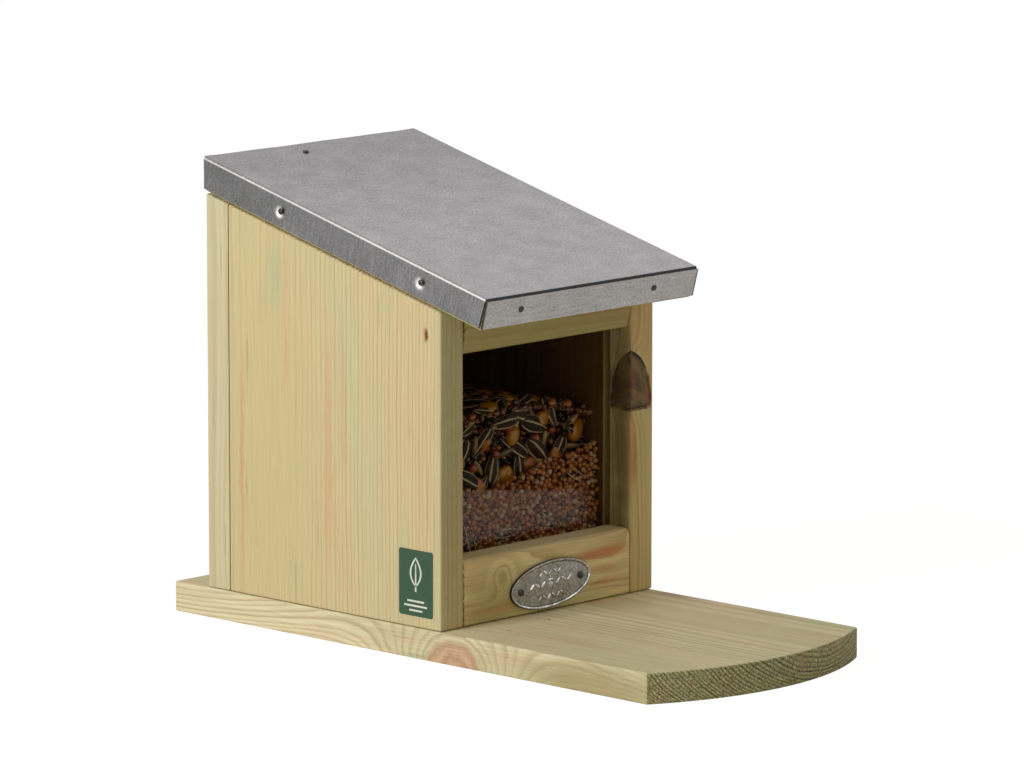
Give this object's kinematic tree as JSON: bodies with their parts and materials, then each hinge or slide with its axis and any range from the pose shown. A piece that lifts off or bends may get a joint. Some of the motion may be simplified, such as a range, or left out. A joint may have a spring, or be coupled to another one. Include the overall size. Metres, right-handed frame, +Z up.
{
  "type": "squirrel feeder box",
  "caption": "Small softwood feeder box with a clear pane, a sill with an oval plate, a long curved landing board and a sheet-metal covered lid hinged at the back.",
  "frame": {"origin": "under the middle of the base board's footprint, on the surface that it stands on", "axes": "+Z up, -Y the front with the curved landing board, +X to the right seen from the front"},
  "size_m": [0.1186, 0.268, 0.1816],
  "materials": {
    "softwood": "planed, pressure-impregnated pine",
    "galvanised_sheet": "dull galvanised sheet",
    "clear_acrylic": "clear, polished",
    "plate_metal": "stamped, bright rim",
    "fastener_steel": "zinc plated",
    "hinge_steel": "zinc plated",
    "label_film": "printed film, plain",
    "small_grain": "loose millet and small grain",
    "seed_mix": "loose sunflower seed and maize"
  },
  "bodies": {
    "box": {"base_board": "softwood", "left_side_panel": "softwood", "right_side_panel": "softwood", "back_panel": "softwood", "front_sill": "softwood", "window_pane": "clear_acrylic", "nameplate": "plate_metal", "nameplate_nail_left": "fastener_steel", "nameplate_nail_right": "fastener_steel", "side_label": "label_film", "feed_small_grain": "small_grain", "feed_seed_heap": "seed_mix", "base_screw_left_front": "fastener_steel", "base_screw_left_rear": "fastener_steel", "base_screw_right_front": "fastener_steel", "base_screw_right_rear": "fastener_steel", "sill_screw_left": "fastener_steel", "sill_screw_right": "fastener_steel", "back_foot_screw_left": "fastener_steel", "back_foot_screw_right": "fastener_steel", "back_screw_left_low": "fastener_steel", "back_screw_left_high": "fastener_steel", "back_screw_right_low": "fastener_steel", "back_screw_right_high": "fastener_steel", "left_hinge_box_leaf": "hinge_steel", "right_hinge_box_leaf": "hinge_steel", "left_hinge_pin": "hinge_steel", "right_hinge_pin": "hinge_steel", "left_hinge_box_screw_1": "fastener_steel", "left_hinge_box_screw_2": "fastener_steel", "right_hinge_box_screw_1": "fastener_steel", "right_hinge_box_screw_2": "fastener_steel"},
    "lid": {"lid_board": "softwood", "lid_cover_sheet": "galvanised_sheet", "lid_rail": "softwood", "rail_screw_left": "fastener_steel", "rail_screw_right": "fastener_steel", "cover_nail_left_front": "fastener_steel", "cover_nail_left_rear": "fastener_steel", "cover_nail_right_front": "fastener_steel", "cover_nail_right_rear": "fastener_steel", "cover_nail_front_left": "fastener_steel", "cover_nail_front_right": "fastener_steel", "cover_nail_top": "fastener_steel", "left_hinge_lid_leaf": "hinge_steel", "right_hinge_lid_leaf": "hinge_steel", "left_hinge_lid_screw_1": "fastener_steel", "left_hinge_lid_screw_2": "fastener_steel", "right_hinge_lid_screw_1": "fastener_steel", "right_hinge_lid_screw_2": "fastener_steel"}
  },
  "joints": [
    {"name": "lid_hinge", "type": "hinge", "parent": "box", "child": "lid", "pos_m": [0, 0.1184, 0.16746], "axis": [-1, 0, 0], "range_deg": [0, 105]}
  ]
}
